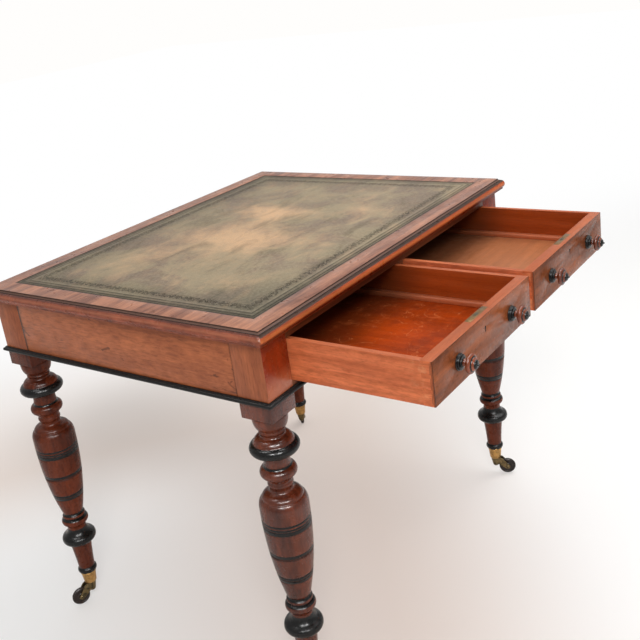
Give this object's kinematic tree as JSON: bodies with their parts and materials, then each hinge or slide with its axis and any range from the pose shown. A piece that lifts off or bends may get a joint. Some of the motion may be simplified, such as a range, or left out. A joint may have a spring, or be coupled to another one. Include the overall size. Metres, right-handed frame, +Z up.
{
  "type": "writing table",
  "caption": "Rectangular mahogany writing table with an inset leather top, frieze drawers standing open, turned legs with ebonised rings, and swivelling brass casters.",
  "frame": {"origin": "middle of the floor area that the table covers with both drawers open as shown, at floor level", "axes": "+Z up, the drawers are on the front, which faces -Y, +X to the right of a person who stands in front of the drawers and faces the table"},
  "size_m": [0.916, 0.995, 0.76],
  "materials": {
    "mahogany": "french polished",
    "red_mahogany": "satin",
    "deal": "bare",
    "ebonised": "polished black",
    "leather": "waxed",
    "brass": "aged",
    "caster_wheel": "dark polished",
    "steel": "dull"
  },
  "bodies": {
    "carcase": {"top_board": "mahogany", "leather_top": "leather", "ebonised_fillet": "ebonised", "left_apron": "mahogany", "right_apron": "mahogany", "back_apron": "mahogany", "top_rail": "mahogany", "bottom_rail": "mahogany", "drawer_divider": "mahogany", "apron_bead": "ebonised", "left_runner": "deal", "right_runner": "deal", "centre_runner": "deal", "kickers": "deal", "drawer_stops": "deal", "glue_blocks": "deal", "top_screws": "steel", "leg_front_left": "mahogany", "leg_front_right": "mahogany", "leg_back_left": "mahogany", "leg_back_right": "mahogany", "caster_cup_front_left": "brass", "caster_cup_front_right": "brass", "caster_cup_back_left": "brass", "caster_cup_back_right": "brass"},
    "left_drawer": {"left_drawer_front": "mahogany", "left_drawer_side_left": "red_mahogany", "left_drawer_side_right": "red_mahogany", "left_drawer_back": "red_mahogany", "left_drawer_bottom": "red_mahogany", "left_drawer_slips": "red_mahogany", "left_lock_case": "brass", "left_knob_outer": "mahogany", "left_knob_inner": "mahogany"},
    "left_lock_bolt": {"left_lock_bolt": "brass"},
    "right_drawer": {"right_drawer_front": "mahogany", "right_drawer_side_left": "red_mahogany", "right_drawer_side_right": "red_mahogany", "right_drawer_back": "red_mahogany", "right_drawer_bottom": "red_mahogany", "right_drawer_slips": "red_mahogany", "right_lock_case": "brass", "right_knob_outer": "mahogany", "right_knob_inner": "mahogany"},
    "right_lock_bolt": {"right_lock_bolt": "brass"},
    "horn_front_left": {"caster_horn_front_left": "brass", "caster_pin_front_left": "brass"},
    "wheel_front_left": {"caster_wheel_front_left": "caster_wheel"},
    "horn_front_right": {"caster_horn_front_right": "brass", "caster_pin_front_right": "brass"},
    "wheel_front_right": {"caster_wheel_front_right": "caster_wheel"},
    "horn_back_left": {"caster_horn_back_left": "brass", "caster_pin_back_left": "brass"},
    "wheel_back_left": {"caster_wheel_back_left": "caster_wheel"},
    "horn_back_right": {"caster_horn_back_right": "brass", "caster_pin_back_right": "brass"},
    "wheel_back_right": {"caster_wheel_back_right": "caster_wheel"}
  },
  "joints": [
    {"name": "left_drawer_slide", "type": "slide", "parent": "carcase", "child": "left_drawer", "axis": [0, -1, 0], "range_m": [-0.264, 0.176]},
    {"name": "left_lock_bolt_slide", "type": "slide", "parent": "left_drawer", "child": "left_lock_bolt", "axis": [0, 0, 1], "range_m": [0, 0.0065]},
    {"name": "right_drawer_slide", "type": "slide", "parent": "carcase", "child": "right_drawer", "axis": [0, -1, 0], "range_m": [-0.264, 0.176]},
    {"name": "right_lock_bolt_slide", "type": "slide", "parent": "right_drawer", "child": "right_lock_bolt", "axis": [0, 0, 1], "range_m": [0, 0.0065]},
    {"name": "swivel_front_left", "type": "hinge", "parent": "carcase", "child": "horn_front_left", "pos_m": [-0.4055, -0.16603, 0.047], "axis": [0, 0, 1], "continuous": true},
    {"name": "axle_front_left", "type": "hinge", "parent": "horn_front_left", "child": "wheel_front_left", "pos_m": [-0.41599, -0.19199, 0.02], "axis": [0.9272, -0.3746, 0], "continuous": true},
    {"name": "swivel_front_right", "type": "hinge", "parent": "carcase", "child": "horn_front_right", "pos_m": [0.4055, -0.16603, 0.047], "axis": [0, 0, 1], "continuous": true},
    {"name": "axle_front_right", "type": "hinge", "parent": "horn_front_right", "child": "wheel_front_right", "pos_m": [0.41821, -0.19097, 0.02], "axis": [0.891, 0.454, 0], "continuous": true},
    {"name": "swivel_back_left", "type": "hinge", "parent": "carcase", "child": "horn_back_left", "pos_m": [-0.4055, 0.44498, 0.047], "axis": [0, 0, 1], "continuous": true},
    {"name": "axle_back_left", "type": "hinge", "parent": "horn_back_left", "child": "wheel_back_left", "pos_m": [-0.43146, 0.45546, 0.02], "axis": [-0.3746, -0.9272, 0], "continuous": true},
    {"name": "swivel_back_right", "type": "hinge", "parent": "carcase", "child": "horn_back_right", "pos_m": [0.4055, 0.44498, 0.047], "axis": [0, 0, 1], "continuous": true},
    {"name": "axle_back_right", "type": "hinge", "parent": "horn_back_right", "child": "wheel_back_right", "pos_m": [0.42815, 0.46143, 0.02], "axis": [-0.5878, 0.809, 0], "continuous": true}
  ]
}
